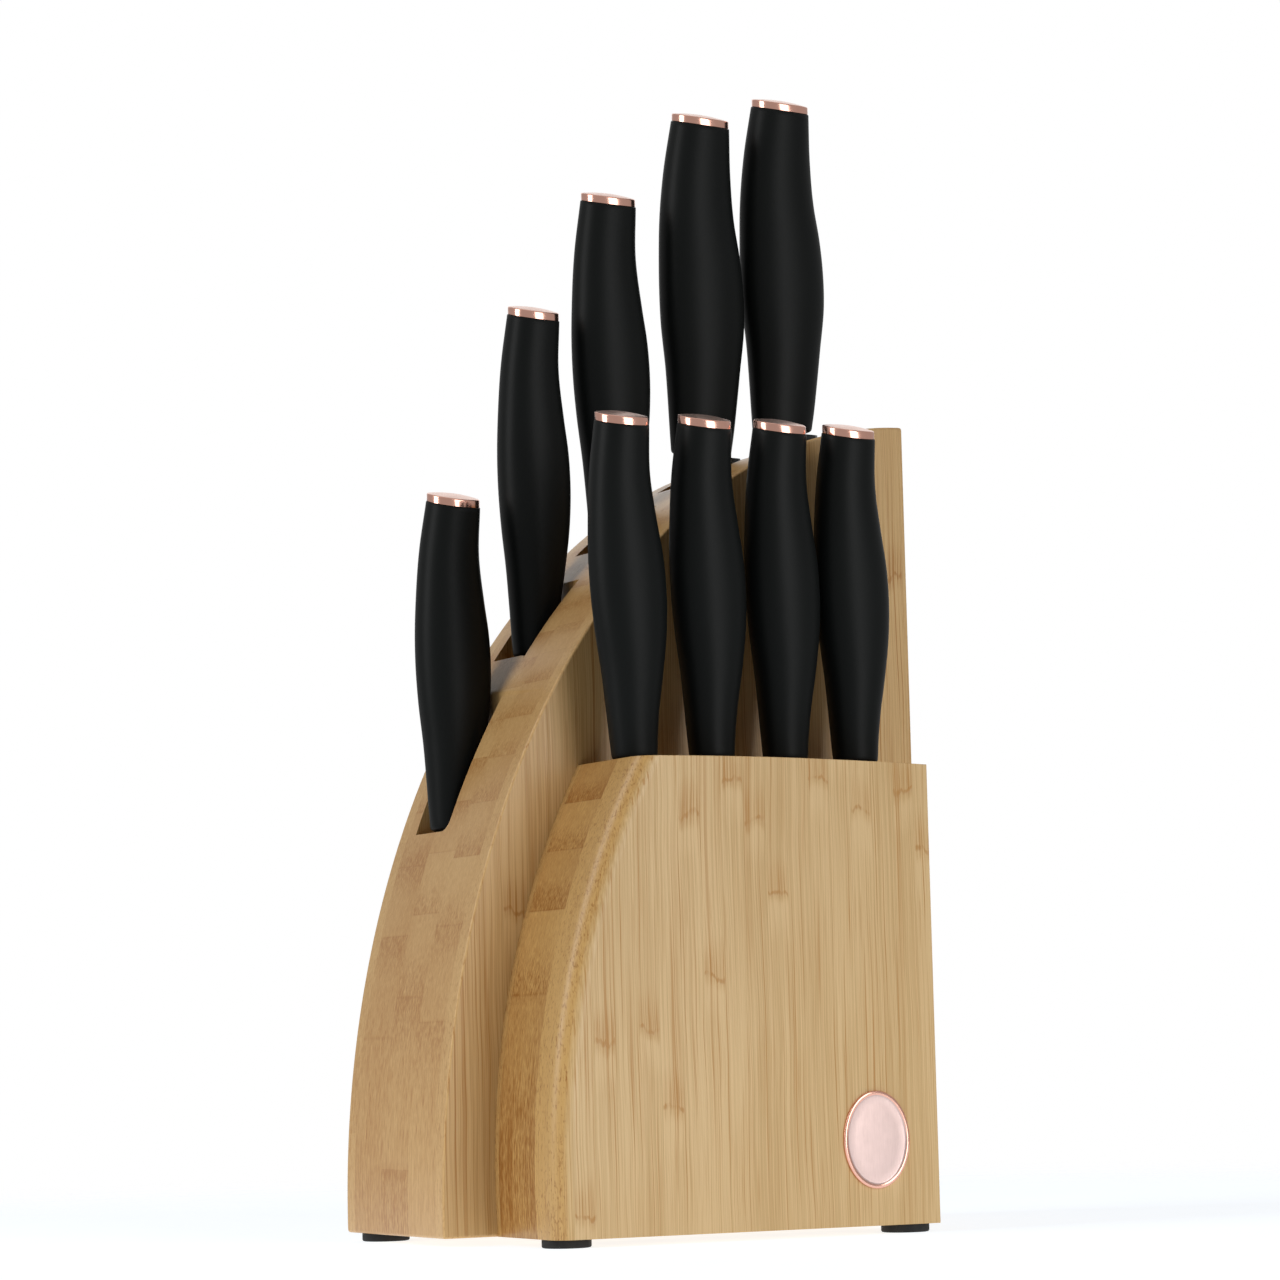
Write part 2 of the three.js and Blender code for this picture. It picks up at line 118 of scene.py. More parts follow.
class Nodes:
    """One material's node tree, built with short calls that each return an output socket."""

    def __init__(self, name, **constants):
        self.material = bpy.data.materials.new(name)
        self.material.use_nodes = True
        self.tree = self.material.node_tree
        self.bsdf = self.tree.nodes["Principled BSDF"]
        self.point = self.tree.nodes.new("ShaderNodeTexCoord").outputs["Object"]
        for socket, value in constants.items():
            self.bsdf.inputs[socket.replace("_", " ")].default_value = value

    def put(self, socket, value):
        if isinstance(value, bpy.types.NodeSocket):
            self.tree.links.new(value, socket)
        elif socket.type == "RGBA":
            socket.default_value = (*value, 1)
        else:
            socket.default_value = value

    def math(self, operation, *values):
        node = self.tree.nodes.new("ShaderNodeMath")
        node.operation = operation
        for socket, value in zip(node.inputs, values):
            self.put(socket, value)
        return node.outputs[0]

    def total(self, *values):
        result = values[0]
        for value in values[1:]:
            result = self.math("ADD", result, value)
        return result

    def times(self, *values):
        result = values[0]
        for value in values[1:]:
            result = self.math("MULTIPLY", result, value)
        return result

    def stretch(self, factors, vector=None):
        node = self.tree.nodes.new("ShaderNodeVectorMath")
        node.operation = "MULTIPLY"
        self.put(node.inputs[0], self.point if vector is None else vector)
        node.inputs[1].default_value = factors
        return node.outputs[0]

    def split(self, vector):
        node = self.tree.nodes.new("ShaderNodeSeparateXYZ")
        self.put(node.inputs[0], vector)
        return node.outputs

    def join(self, *values):
        node = self.tree.nodes.new("ShaderNodeCombineXYZ")
        for socket, value in zip(node.inputs, values):
            self.put(socket, value)
        return node.outputs[0]

    def noise(self, vector, detail=2.0, roughness=0.5, distortion=0.0):
        """Noise around zero, mostly between -0.5 and 0.5."""
        node = self.tree.nodes.new("ShaderNodeTexNoise")
        self.put(node.inputs["Vector"], vector)
        node.inputs["Scale"].default_value = 1
        node.inputs["Detail"].default_value = detail
        node.inputs["Roughness"].default_value = roughness
        node.inputs["Distortion"].default_value = distortion
        return self.math("MULTIPLY", self.math("SUBTRACT", node.outputs[0], 0.5), 1.7)

    def random(self, vector):
        """Three random numbers between 0 and 1 for each value of the vector."""
        node = self.tree.nodes.new("ShaderNodeTexWhiteNoise")
        node.noise_dimensions = "3D"
        self.put(node.inputs["Vector"], vector)
        return self.split(node.outputs["Color"])

    def fit(self, value, low, high, to_low=0.0, to_high=1.0):
        """The value's smooth step from low to high."""
        node = self.tree.nodes.new("ShaderNodeMapRange")
        node.interpolation_type = "SMOOTHSTEP"
        for socket, item in zip(node.inputs, (value, low, high, to_low, to_high)):
            self.put(socket, item)
        return node.outputs[0]

    def mix(self, factor, a, b):
        node = self.tree.nodes.new("ShaderNodeMix")
        node.data_type = "RGBA"
        node.clamp_factor = True
        for index, value in ((0, factor), (6, a), (7, b)):
            self.put(node.inputs[index], value)
        return node.outputs[2]

    def bump(self, height, distance, strength=1.0):
        node = self.tree.nodes.new("ShaderNodeBump")
        node.inputs["Strength"].default_value = strength
        node.inputs["Distance"].default_value = distance
        self.put(node.inputs["Height"], height)
        self.put(self.bsdf.inputs["Normal"], node.outputs[0])

    def set(self, **links):
        for socket, value in links.items():
            self.put(self.bsdf.inputs[socket.replace("_", " ")], value)
        return self.material


def bamboo(name, layers, seed, flip, face, end):
    """Laminated bamboo with its grain along Z.

    layers lists (front Y in mm, strip width along X in mm, paleness of its end grain) from front to back.
    face gives the flat faces' pale, middle and line colours, and end the pale and dark colours of the
    cut-through edge. Strips whose random number is above flip have their bark side on the left.
    """
    n = Nodes(name, Specular_IOR_Level=0.45)
    x, y, z = n.split(n.point)
    steps = [n.math("GREATER_THAN", y, front * MM) for front, _, _ in layers[1:]]

    def by_layer(values):
        changes = [n.times(step, b - a) for step, a, b in zip(steps, values, values[1:])]
        return n.total(values[0], *changes) if changes else values[0]

    layer = by_layer(list(range(len(layers))))
    width = by_layer([w * MM for _, w, _ in layers])
    pale_end = by_layer([p for _, _, p in layers])
    across = n.total(n.math("DIVIDE", x, width), n.times(layer, 0.37), seed)
    strip = n.math("FLOOR", across)
    inside = n.math("FRACT", across)
    tone, phase, lively = n.random(n.join(strip, layer, seed))

    # The grain wanders a little sideways as it climbs.
    drift = n.times(n.noise(n.stretch((30, 30, 13)), detail=2), 0.0022)
    grain = n.join(n.total(x, drift), y, z)
    hair = n.noise(n.stretch((2200, 2200, 11), grain), detail=2, roughness=0.7)
    streak = n.noise(n.stretch((560, 560, 9), grain), detail=2)
    band = n.noise(n.stretch((130, 130, 5), grain), detail=2)
    cloud = n.noise(n.stretch((34, 34, 12)), detail=2)
    dash = n.fit(n.noise(n.stretch((2100, 2100, 26), grain), detail=1), 0.12, 0.34)
    line = n.fit(n.noise(n.stretch((1500, 1500, 8), grain), detail=1), 0.16, 0.32)
    long_line = n.fit(n.noise(n.stretch((330, 330, 2.2), grain), detail=2), 0.22, 0.36)

    # Knuckles of the culm: one short crossing per strip at a height of its own, frayed above and pale below.
    wander = n.total(n.times(n.noise(n.stretch((150, 150, 40)), detail=1), 0.006),
                     n.times(n.noise(n.stretch((700, 700, 90)), detail=2), 0.0025))
    height = n.math("FRACT", n.total(n.math("DIVIDE", n.total(z, wander), KNUCKLE_SPACING), phase))
    rise = n.times(n.math("SUBTRACT", height, 0.5), KNUCKLE_SPACING)
    middle = n.fit(n.math("ABSOLUTE", n.math("SUBTRACT", inside, 0.5)), 0.42, 0.5, 1, 0)
    shown = n.times(middle, n.fit(lively, 0.18, 0.3))
    crossing = n.fit(n.math("ABSOLUTE", rise), 0.0002, 0.0011, 1, 0)
    knuckle = n.times(crossing, shown, n.fit(streak, -0.2, 0.12, 0.2, 1))
    above = n.times(n.fit(rise, -0.0005, 0.0005), n.fit(rise, 0.003, 0.015, 1, 0))
    below = n.times(n.fit(rise, -0.005, -0.001), n.fit(rise, -0.0005, 0.0005, 1, 0), 0.6)
    fray = n.times(n.total(above, below), shown, n.total(0.25, n.times(n.fit(hair, -0.04, 0.16), 0.9)))
    pale_patch = n.times(n.fit(rise, -0.016, -0.006), n.fit(rise, -0.004, -0.001, 1, 0), shown)
    seam = n.fit(n.math("ABSOLUTE", n.math("SUBTRACT", inside, 0.5)), 0.476, 0.5)

    darker = n.total(
        0.36,
        n.times(hair, 2.0),
        n.times(streak, 0.3),
        n.times(band, 0.3),
        n.times(cloud, 0.5),
        n.times(n.math("SUBTRACT", tone, 0.5), 0.4),
        n.times(seam, 0.3),
        n.times(pale_patch, -0.4),
    )
    warm = n.total(n.times(dash, 0.4), n.times(line, 0.75), n.times(long_line, 0.5),
                   n.times(knuckle, 0.6), n.times(fray, 0.65))
    face_colour = n.mix(warm, n.mix(darker, face[0], face[1]), face[2])

    # Cut fibres: dots on level cuts, short dashes on steep ones, denser towards the bark side of each strip.
    fibre = n.noise(n.stretch((1500, 1500, 300)), detail=2, roughness=0.6, distortion=0.3)
    bark_side = n.math("ABSOLUTE", n.math("SUBTRACT", n.math("GREATER_THAN", lively, flip), inside))
    rind = n.fit(bark_side, 0.4, 1.0)
    core = n.math("SUBTRACT", 1.0, pale_end)
    speck = n.fit(n.noise(n.stretch((1500, 1500, 650)), detail=1), 0.1, 0.3)
    end_darker = n.total(
        0.34,
        n.times(fibre, n.total(0.6, n.times(rind, core, 0.9))),
        n.times(rind, core, 0.32),
        n.times(streak, 0.22),
        n.times(cloud, 0.35),
        n.times(n.math("SUBTRACT", tone, 0.5), core, 0.38),
        n.times(seam, core, 0.2),
        n.times(pale_end, -0.3),
        n.times(speck, pale_end, 0.45),
    )

    _, normal_y, normal_z = n.split(n.tree.nodes.new("ShaderNodeNewGeometry").outputs["Normal"])
    facing = n.math("ABSOLUTE", normal_y)
    upright = n.fit(n.math("ABSOLUTE", normal_z), 0.05, 0.4, 1, 0)
    upright_fibres = n.times(upright, n.total(n.times(hair, 0.9), n.times(line, 0.4)))
    end_colour = n.mix(n.total(end_darker, upright_fibres), *end)
    colour = n.mix(n.fit(facing, 0.8, 0.96), end_colour, face_colour)
    rough = n.total(0.33, n.times(hair, 0.12), n.times(cloud, 0.08))
    relief = n.total(n.times(hair, 0.5), n.times(fibre, 0.5), n.times(knuckle, -0.6), n.times(seam, -0.5))
    n.bump(relief, 0.00012, 0.35)
    return n.set(Base_Color=colour, Roughness=rough)


def soft_black():
    """Satin soft-touch plastic with a faint polish where it is held."""
    n = Nodes("soft_touch_black", Specular_IOR_Level=0.1)
    grain = n.noise(n.stretch((5200, 5200, 5200)), detail=1)
    handled = n.noise(n.stretch((38, 38, 16)), detail=2)
    colour = n.mix(n.total(0.5, n.times(handled, 0.6)), (0.0055, 0.0063, 0.0061), (0.0075, 0.0086, 0.0083))
    n.bump(grain, 0.00003, 0.3)
    return n.set(Base_Color=colour, Roughness=n.total(0.42, n.times(handled, 0.07), n.times(grain, 0.03)))


def rose_gold(name, colour, roughness, brushed, direction):
    """Rose-gold coated steel. brushed is the depth of its fine lines and direction their noise stretch."""
    n = Nodes(name, Metallic=1.0)
    lines = n.noise(n.stretch(direction), detail=3, roughness=0.6)
    wear = n.noise(n.stretch((330, 330, 330)), detail=2)
    pale = tuple(min(1, c * 1.06) for c in colour)
    tint = n.mix(n.total(0.5, n.times(lines, 0.5), n.times(wear, 0.4)), pale, tuple(c * 0.9 for c in colour))
    n.bump(n.total(lines, n.times(wear, 0.2)), brushed, 0.5)
    rough = n.total(roughness, n.times(lines, roughness * 0.5), n.times(wear, 0.05))
    return n.set(Base_Color=tint, Roughness=rough)


def blade_steel(name, colour, metallic, roughness):
    n = Nodes(name, Metallic=metallic)
    lines = n.noise(n.stretch((60, 900, 5000)), detail=2)
    smear = n.noise(n.stretch((90, 90, 40)), detail=2)
    tint = n.mix(n.total(0.5, n.times(smear, 0.8)), colour, tuple(c * 0.7 for c in colour))
    n.bump(lines, 0.00002, 0.4)
    return n.set(Base_Color=tint, Roughness=n.total(roughness, n.times(lines, 0.1), n.times(smear, 0.06)))


def rubber():
    n = Nodes("foot_rubber", Specular_IOR_Level=0.3)
    grain = n.noise(n.stretch((2600, 2600, 2600)), detail=2)
    dust = n.noise(n.stretch((210, 210, 210)), detail=2)
    n.bump(grain, 0.0001, 0.5)
    tint = n.mix(n.total(0.4, dust), (0.011, 0.011, 0.011), (0.03, 0.028, 0.026))
    return n.set(Base_Color=tint, Roughness=n.total(0.72, n.times(grain, 0.1)))


# ---- mesh helpers ---------------------------------------------------------------------------------------

def to_object(name, bm, materials, sharp=35):
    """Turns a bmesh in millimetres into a smooth-shaded object in metres."""
    bmesh.ops.recalc_face_normals(bm, faces=bm.faces)
    bm.transform(Matrix.Scale(MM, 4))
    mesh = bpy.data.meshes.new(name)
    bm.to_mesh(mesh)
    bm.free()
    for material in materials:
        mesh.materials.append(material)
    mesh.shade_smooth()
    mesh.set_sharp_from_angle(angle=math.radians(sharp))
    piece = bpy.data.objects.new(name, mesh)
    bpy.context.scene.collection.objects.link(piece)
    return piece


def loft(rings, materials=()):
    """A closed bmesh through rings of points; materials gives a slot for each band of faces and both ends."""
    bm = bmesh.new()
    rows = [[bm.verts.new(p) for p in ring] for ring in rings]
    count = len(rows[0])
    for k in range(len(rows) - 1):
        for i in range(count):
            j = (i + 1) % count
            face = bm.faces.new((rows[k][i], rows[k][j], rows[k + 1][j], rows[k + 1][i]))
            face.material_index = materials[k] if materials else 0
    first = bm.faces.new(rows[0][::-1])
    last = bm.faces.new(rows[-1])
    if materials:
        first.material_index = materials[0]
        last.material_index = materials[-1]
    return bm


def boxes(name, items):
    """One mesh of separate boxes, each given as (x0, x1, y0, y1, z0, z1, placing matrix)."""
    bm = bmesh.new()
    for x0, x1, y0, y1, z0, z1, place in items:
        made = bmesh.ops.create_cube(bm, size=1)["verts"]
        size = Matrix.Diagonal((x1 - x0, y1 - y0, z1 - z0, 1))
        middle = Matrix.Translation(((x0 + x1) / 2, (y0 + y1) / 2, (z0 + z1) / 2))
        bmesh.ops.transform(bm, matrix=place @ middle @ size, verts=made)
    return to_object(name, bm, [])


def apply_modifiers(piece):
    """Bakes the modifiers into the mesh."""
    graph = bpy.context.evaluated_depsgraph_get()
    mesh = bpy.data.meshes.new_from_object(piece.evaluated_get(graph))
    piece.modifiers.clear()
    piece.data = mesh


def cut(piece, cutter):
    """Takes the cutter's shape out of the piece and deletes the cutter."""
    modifier = piece.modifiers.new("cut", "BOOLEAN")
    modifier.operation = "DIFFERENCE"
    modifier.solver = "EXACT"
    modifier.object = cutter
    apply_modifiers(piece)
    bpy.data.objects.remove(cutter)


def soften(piece, width, segments=3):
    """Rounds every sharp edge."""
    modifier = piece.modifiers.new("soften", "BEVEL")
    modifier.width = width * MM
    modifier.segments = segments
    modifier.limit_method = "ANGLE"
    modifier.angle_limit = math.radians(40)
    modifier.use_clamp_overlap = True
    apply_modifiers(piece)


def finish_wood(piece):
    """Smooth shading that keeps flat faces flat."""
    piece.data.shade_smooth()
    piece.data.set_sharp_from_angle(angle=math.radians(42))
    weighted = piece.modifiers.new("flat faces", "WEIGHTED_NORMAL")
    weighted.keep_sharp = True


# ---- block ----------------------------------------------------------------------------------------------

ARC_STEPS = 110
CORNER_ROOM = 1.6
CUTTER_LEFT, CUTTER_TOP = -120.0, 300.0
ROUTER_ROUND = 4.2


def ellipse_part(arc, start, stop, inset=0.0):
    x, z, a, b = arc
    angles = np.linspace(start, stop, ARC_STEPS)
    return [(x + (a - inset) * math.cos(t), z + (b - inset) * math.sin(t)) for t in angles]


def left_angle(arc, height, inset=0.0):
    return math.pi - math.asin((height - arc[1]) / (arc[3] - inset))


def back_outline():
    """The back slab's outline, with no arc point within CORNER_ROOM of a pocket's corner."""
    x, z, a, b = BACK_ARC
    stop = math.acos((BACK_RIGHT - x) / a)
    corners = []
    for right, floor in POCKET_STEPS:
        corners.append((right, z + b * math.sqrt(1 - ((right - x) / a) ** 2)))
        corners.append((x - a * math.sqrt(1 - ((floor - z) / b) ** 2), floor))
    arc = ellipse_part(BACK_ARC, left_angle(BACK_ARC, FOOT_HEIGHT), stop)
    kept = [point for point in arc[1:-1] if all(math.dist(point, corner) > CORNER_ROOM for corner in corners)]
    return [arc[0], *kept, arc[-1], (BACK_RIGHT, FOOT_HEIGHT)]


def front_outline(inset=0.0):
    start = left_angle(FRONT_ARC, FOOT_HEIGHT, inset)
    stop = left_angle(FRONT_ARC, FRONT_CREST, inset)
    points = ellipse_part(FRONT_ARC, start, stop, inset)
    x0, z0 = points[-1]
    for t in np.linspace(0, 1, 25)[1:]:
        x = (1 - t) ** 2 * x0 + 2 * t * (1 - t) * FRONT_CROWN[0] + t * t * FRONT_RIGHT
        z = (1 - t) ** 2 * z0 + 2 * t * (1 - t) * FRONT_CROWN[1] + t * t * FRONT_END_HEIGHT
        points.append((x, z))
    return points + [(FRONT_RIGHT, FOOT_HEIGHT)]


def slab(name, slices, material):
    """A slab through outlines of (x, z) points, each with the Y it stands at."""
    return to_object(name, loft([[(x, y, z) for x, z in points] for y, points in slices]), [material])


def stair_cutter():
    """The five stepped pockets as one prism, with a router's rounding along the near wall's foot."""
    outline = [(CUTTER_LEFT, POCKET_STEPS[0][1])]
    for k, (right, floor) in enumerate(POCKET_STEPS):
        top = POCKET_STEPS[k + 1][1] if k + 1 < len(POCKET_STEPS) else CUTTER_TOP
        outline += [(right, floor), (right, top)]
    outline.append((CUTTER_LEFT, CUTTER_TOP))
    bm = loft([[(x, y, z) for x, z in outline] for y in (POCKET_NEAR, POCKET_FAR)])
    feet = [
        edge for edge in bm.edges
        if all(abs(v.co.y - POCKET_NEAR) < 0.01 and v.co.z < CUTTER_TOP - 1 for v in edge.verts)
        and abs(edge.verts[0].co.z - edge.verts[1].co.z) < 0.01
    ]
    bmesh.ops.bevel(bm, geom=feet, offset=ROUTER_ROUND, segments=6, profile=0.5, affect="EDGES")
    return to_object("stair_cutter", bm, [])


def knife_place(knife, y):
    """The knife's own frame: its handle's blade end at the origin, its butt up."""
    _, x, z, lean = knife[:4]
    return Matrix.Translation((x, y, z + SEAT_GAP)) @ Matrix.Rotation(math.radians(lean), 4, "Y")


def slot_cutter(knives, y):
    half = SLOT["width"] / 2
    items = []
    for knife in knives:
        length, spine, width = knife[7:10]
        left, right = spine - SLOT["clearance"], spine + width + SLOT["clearance"]
        bottom = -length - SLOT["below"]
        items.append((left, right, -half, half, bottom, SLOT["above"], knife_place(knife, y)))
    return boxes("slot_cutter", items)


def foot(node, material):
    """A pressed rubber foot with a soft rim and a shallow dish underneath."""
    low, high = (Vector(v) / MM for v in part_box(node))
    middle, radius, top = (low + high) / 2, (high.x - low.x) / 2, high.z
    profile = [(0.55, 0.5), (0.62, 0.08), (0.72, 0), (0.9, 0), (0.965, 0.12), (1, 0.5), (1, top)]
    rings = []
    for r, z in profile:
        rings.append([
            (middle.x + radius * r * math.cos(t), middle.y + radius * r * math.sin(t), z)
            for t in np.linspace(0, 2 * math.pi, 48, endpoint=False)
        ])
    return to_object(node.replace("foot", "rubber_foot"), loft(rings), [material], sharp=50)


def badge(materials):
    """An upright oval plate: a rounded raised border around a slightly crowned, plain field."""
    low, high = (Vector(v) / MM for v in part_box("badge_plate"))
    middle = (low + high) / 2
    a, b = (high.x - low.x) / 2, (high.z - low.z) / 2
    back, front = high.y, low.y
    profile = [(0, back, 0), (0, back - 0.6, 0), (0.12, back - 0.85, 0), (0.45, front, 0), (1.0, front, 0),
               (1.35, back - 0.85, 0), (1.6, back - 0.55, 1), (1.9, back - 0.5, 1), (4.5, back - 0.62, 1),
               (8.5, back - 0.68, 1)]
    rings, slots = [], []
    for inset, y, slot in profile:
        rings.append([
            (middle.x + (a - inset) * math.cos(t), y, middle.z + (b - inset) * math.sin(t))
            for t in np.linspace(0, 2 * math.pi, 96, endpoint=False)
        ])
        slots.append(slot)
    return to_object("badge_oval", loft(rings, slots[1:]), materials, sharp=50)


# ---- knives ----------------------------------------------------------------------------------------------

RING_POINTS = 56


def seam_height(x, y):
    """Height of the sloping butt cut above its middle point."""
    return BUTT_SLOPE[0] * x + BUTT_SLOPE[1] * y


def superellipse(half, side):
    bend = 2 / SECTION_POWER
    points = []
    for t in np.linspace(0, 2 * math.pi, RING_POINTS, endpoint=False):
        c, s = math.cos(t), math.sin(t)
        points.append((half * math.copysign(abs(c) ** bend, c), side * math.copysign(abs(s) ** bend, s)))
    return points


def smooth_curve(values, at):
    """Cubic curve through the profile's values."""
    knots = np.array(PROFILE_AT, float)
    values = np.array(values, float)
    slopes = np.gradient(values, knots)
    k = min(max(int(np.searchsorted(knots, at, side="right")) - 1, 0), len(knots) - 2)
    step = knots[k + 1] - knots[k]
    t = (at - knots[k]) / step
    return float(
        (2 * t**3 - 3 * t**2 + 1) * values[k] + (t**3 - 2 * t**2 + t) * step * slopes[k]
        + (3 * t**2 - 2 * t**3) * values[k + 1] + (t**3 - t**2) * step * slopes[k + 1]
    )


def handle(knife, place, material):
    name, _, _, _, profile, length, factor = knife[:7]
    foot_round = 1.1
    stations = [(0.0, foot_round), (0.25, foot_round * 0.45), (0.6, foot_round * 0.14), (foot_round, 0.0)]
    stations = [(z / length, inset) for z, inset in stations]
    stations += [(f, 0.0) for f in np.linspace(0.02, 0.985, 56)]
    stations += [(1 - 0.2 / length, 0.0), (1.0, 0.15)]
    rings = []
    for f, inset in stations:
        spine, edge = (smooth_curve(profile[key], f) * factor for key in ("spine", "edge"))
        side = smooth_curve(profile["side"], f)
        middle, half = (spine + edge) / 2, (edge - spine) / 2
        sag = min(1.0, max(0.0, (f - 0.7) / 0.3))
        rings.append([
            (middle + x, y, f * length + sag * seam_height(x, y))
            for x, y in superellipse(half - inset, side - inset)
        ])
    piece = to_object(f"{name}_grip", loft(rings), [material], sharp=60)
    hole, slit = TANG["half_width"] + TANG["gap"], BLADE_THICKNESS / 2 + TANG["gap"]
    cutter = boxes("tang_cutter", [(-hole, hole, -slit, slit, -3, TANG["depth"] + 1, Matrix.Identity(4))])
    cut(piece, cutter)
    piece.data.shade_smooth()
    piece.data.set_sharp_from_angle(angle=math.radians(60))
    piece.data.transform(metric(place))
    return piece


def metric(place):
    """A placing matrix in millimetres, for a mesh in metres."""
    result = place.copy()
    result.translation = place.translation * MM
    return result


def cap(knife, place, materials):
    """The butt cap: a polished rim under a domed, brushed top."""
    name, _, _, _, profile, length, factor = knife[:7]
    half = (profile["edge"][-1] - profile["spine"][-1]) / 2 * factor
    side = profile["side"][-1]
    gap, rim, dome, inset, chamfer = 0.06, 2.73, 1.0, 0.975, 0.5
    shoulder = inset - chamfer / half

    def domed(f):
        return gap + rim + dome * (shoulder**2 - f**2)

    levels = [(inset - 0.02, gap, 0), (inset, gap + 0.15, 0), (inset, gap + rim - chamfer, 0)]
    for t in (0.35, 0.7, 1.0):
        angle = t * math.pi / 2
        f = inset - (inset - shoulder) * (1 - math.cos(angle))
        levels.append((f, gap + rim - chamfer + chamfer * math.sin(angle), 0))
    levels += [(f, domed(f), 1) for f in (shoulder - 0.03, 0.82, 0.68, 0.52, 0.36, 0.2, 0.08)]
    outline = superellipse(half, side)
    rings = [
        [(x * f, y * f, length + f * seam_height(x, y) + lift) for x, y in outline]
        for f, lift, _ in levels
    ]
    slots = [slot for _, _, slot in levels[1:]]
    piece = to_object(f"{name}_butt_cap", loft(rings, slots), materials, sharp=50)
    piece.data.transform(metric(place))
    return piece


def blade(knife, place, materials):
    """Blade with a broken spine edge, flat sides, a long grind and a bright cutting edge."""
    name = knife[0]
    length, spine, width, belly = knife[7:11]
    thick = BLADE_THICKNESS / 2
    drop, tip_width = width * 0.22, 0.4

    def ring(left, right, half, z):
        across = right - left
        broken = min(0.35, across * 0.1)
        grind, bevel = left + across * 0.45, right - min(0.9, across * 0.12)
        right_side = [
            (left, half * 0.7), (left + broken, half), (grind, half), (bevel, half * 0.3 + 0.08), (right, 0.1)
        ]
        return [(x, -y, z) for x, y in right_side] + [(x, y, z) for x, y in reversed(right_side)]

    rings = []
    for u in np.linspace(0.995, 0, 36):
        z = -length * (belly + (1 - belly) * u)
        right = spine + drop + (width - drop) * math.sqrt(1 - u * u)
        left = spine + (drop - tip_width) * u**4
        rings.append(ring(left, right, thick * (0.35 + 0.65 * (1 - u**3)), z))
    for z in np.linspace(-length * belly, -SEAT_GAP, 8)[1:]:
        rings.append(ring(spine, spine + width, thick, z))
    bm = loft(rings)
    for face in bm.faces:
        xs = [v.co.x for v in face.verts]
        ys = [abs(v.co.y) for v in face.verts]
        if len(face.verts) == 4 and max(ys) < half_edge_limit(thick) and min(xs) > spine + width * 0.3:
            face.material_index = 1
    piece = to_object(f"{name}_coated_blade", bm, materials, sharp=12)
    tang = TANG["half_width"]
    stub = boxes("stub", [(-tang, tang, -thick, thick, -SEAT_GAP - 1, TANG["depth"], Matrix.Identity(4))])
    joined = piece.modifiers.new("tang", "BOOLEAN")
    joined.operation, joined.solver, joined.object = "UNION", "EXACT", stub
    apply_modifiers(piece)
    bpy.data.objects.remove(stub)
    piece.data.transform(metric(place))
    return piece


def half_edge_limit(thick):
    """Half thickness under which a blade's face belongs to the ground cutting edge."""
    return thick * 0.3 + 0.1


# ---- build -----------------------------------------------------------------------------------------------

def place_piece(piece, body, slot, *nodes):
    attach(piece, body)
    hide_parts(*nodes)


BACK_FACE_COLOURS = ((0.65, 0.42, 0.18), (0.50, 0.29, 0.10), (0.41, 0.185, 0.04))
BACK_END_COLOURS = ((0.67, 0.42, 0.172), (0.44, 0.205, 0.06))
FRONT_FACE_COLOURS = ((0.70, 0.48, 0.23), (0.55, 0.345, 0.135), (0.46, 0.22, 0.048))
FRONT_END_COLOURS = ((0.60, 0.36, 0.125), (0.30, 0.12, 0.022))

back_layers = [
    (BACK_NEAR, 9.0, 0.75),
    (BACK_NEAR_PLY, 6.6, 0.15),
    (BACK_SEAMS[0], 6.3, 0.05),
    (BACK_SEAMS[1], 6.8, 0.1),
    (BACK_FAR, 10.0, 0.6),
]
back_bamboo = bamboo("back_slab_bamboo", back_layers, seed=0.31, flip=0.5, face=BACK_FACE_COLOURS,
                     end=BACK_END_COLOURS)
front_layers = [(FRONT_FACE, 7.9, 1.0), (FRONT_SEAMS[0], 6.8, 0.0), (FRONT_SEAMS[1], 9.0, 0.85)]
front_bamboo = bamboo("front_slab_bamboo", front_layers, seed=3.17, flip=-1, face=FRONT_FACE_COLOURS,
                      end=FRONT_END_COLOURS)

back_row, front_row = KNIVES[:5], KNIVES[5:]

outline = back_outline()
back_slab = slab("back_slab", [(BACK_NEAR, outline), (BACK_REAR, outline)], back_bamboo)
soften(back_slab, EDGE_ROUND)
cut(back_slab, stair_cutter())
cut(back_slab, slot_cutter(back_row, BACK_ROW))
finish_wood(back_slab)
place_piece(back_slab, "block", "bamboo_core", "back_slab_far_ply", "back_slab_far_board",
            "back_slab_far_core", "back_slab_near_core", "back_slab_near_board", "back_slab_near_ply")

slices = []
for angle in np.linspace(0, math.pi / 2, 11):
    inset = FRONT_ROUND * (1 - math.sin(angle))
    slices.append((FRONT_FACE + FRONT_ROUND * (1 - math.cos(angle)), front_outline(inset)))
slices.append((BACK_NEAR, front_outline()))
front_slab = slab("front_slab", slices, front_bamboo)
soften(front_slab, EDGE_ROUND)
cut(front_slab, slot_cutter(front_row, FRONT_ROW))
finish_wood(front_slab)
place_piece(front_slab, "block", "bamboo_ply", "front_slab_back_ply", "front_slab_back_core",
            "front_slab_front_core", "front_slab_front_ply")

foot_rubber = rubber()
for node in ("foot_front_left", "foot_front_right", "foot_back_left", "foot_back_right"):
    place_piece(foot(node, foot_rubber), "block", "rubber", node)

polished = rose_gold("rose_gold_polished", (0.90, 0.50, 0.39), 0.17, 0.000004, (300, 300, 2500))
brushed = rose_gold("rose_gold_brushed", (0.92, 0.66, 0.57), 0.3, 0.00001, (240, 3600, 3600))
badge_field = rose_gold("badge_field", (0.70, 0.53, 0.49), 0.42, 0.000008, (3600, 3600, 200))
place_piece(badge([polished, badge_field]), "block", "rose_gold", "badge_plate")

